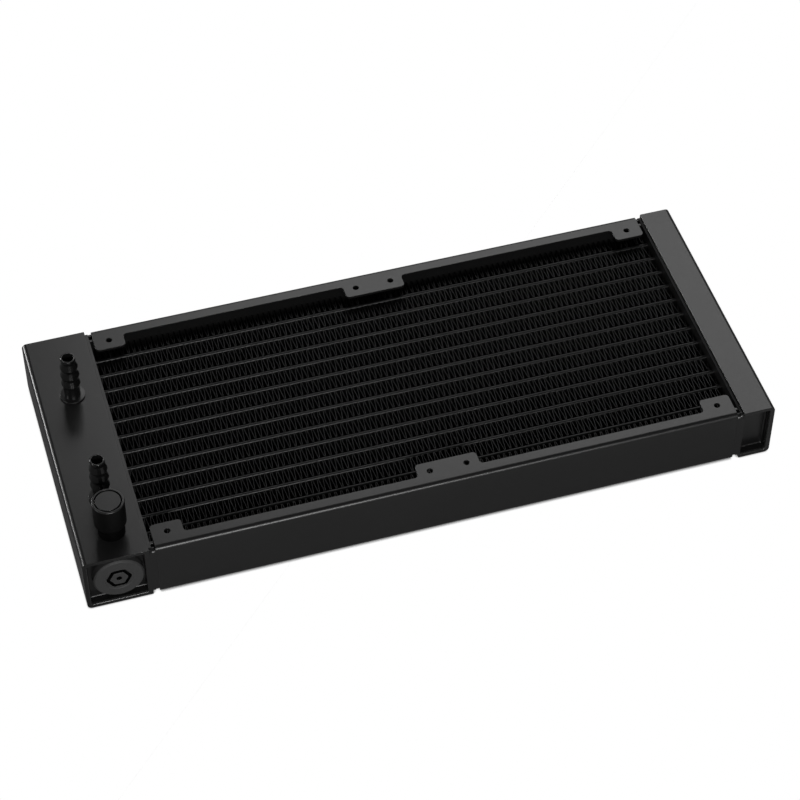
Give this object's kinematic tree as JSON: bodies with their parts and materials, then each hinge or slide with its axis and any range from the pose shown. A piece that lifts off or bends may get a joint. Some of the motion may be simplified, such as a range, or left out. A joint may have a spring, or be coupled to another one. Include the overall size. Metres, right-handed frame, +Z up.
{
  "type": "liquid cooling radiator",
  "caption": "Black aluminium liquid cooling radiator: end tanks, flat tubes and folded fins in channel side frames, with fan tabs, hose barbs, a screw-down filler cap and a relief bladder.",
  "frame": {"origin": "middle of the footprint, on the bottom face", "axes": "+X along the length, away from the tank with the hose barbs; +Y across the width, towards the rear barb; +Z up, the way the barbs point"},
  "size_m": [0.282, 0.12, 0.0484],
  "materials": {
    "tank_coat": "matte",
    "frame_coat": "matte",
    "tube_coat": "satin",
    "fin_coat": "satin",
    "fitting_metal": "satin",
    "cap_plastic": "satin",
    "rubber": "matte",
    "bare_aluminium": "satin"
  },
  "bodies": {
    "radiator": {"wide_tank_shell": "tank_coat", "wide_header_plate": "tank_coat", "wide_tank_front_end": "tank_coat", "wide_tank_rear_end": "tank_coat", "tank_divider": "bare_aluminium", "narrow_tank_shell": "tank_coat", "narrow_header_plate": "tank_coat", "narrow_tank_front_end": "tank_coat", "narrow_tank_rear_end": "tank_coat", "front_side_frame": "frame_coat", "rear_side_frame": "frame_coat", "front_core_plate": "frame_coat", "rear_core_plate": "frame_coat", "flat_tube_01": "tube_coat", "flat_tube_02": "tube_coat", "flat_tube_03": "tube_coat", "flat_tube_04": "tube_coat", "flat_tube_05": "tube_coat", "flat_tube_06": "tube_coat", "flat_tube_07": "tube_coat", "flat_tube_08": "tube_coat", "flat_tube_09": "tube_coat", "flat_tube_10": "tube_coat", "flat_tube_11": "tube_coat", "flat_tube_12": "tube_coat", "fin_strip_01": "fin_coat", "fin_strip_02": "fin_coat", "fin_strip_03": "fin_coat", "fin_strip_04": "fin_coat", "fin_strip_05": "fin_coat", "fin_strip_06": "fin_coat", "fin_strip_07": "fin_coat", "fin_strip_08": "fin_coat", "fin_strip_09": "fin_coat", "fin_strip_10": "fin_coat", "fin_strip_11": "fin_coat", "fin_strip_12": "fin_coat", "fin_strip_13": "fin_coat", "rear_hose_barb": "fitting_metal", "front_hose_barb": "fitting_metal", "filler_neck": "tank_coat", "relief_bladder": "rubber", "relief_flange": "rubber", "vent_nut": "rubber"},
    "cap_seal": {"filler_gasket": "rubber"},
    "cap": {"filler_cap": "cap_plastic", "filler_cap_disc": "cap_plastic"}
  },
  "joints": [
    {"name": "cap_lift", "type": "slide", "parent": "radiator", "child": "cap_seal", "axis": [0, 0, 1], "range_m": [0, 0.01]},
    {"name": "cap_turn", "type": "hinge", "parent": "cap_seal", "child": "cap", "pos_m": [-0.12645, -0.0465, 0.0411], "axis": [0, 0, 1], "range_deg": [0, 2410]}
  ],
  "couplings": [
    {"joint": "cap_turn", "follows": "cap_lift", "rad_per_m": 4188.8}
  ]
}
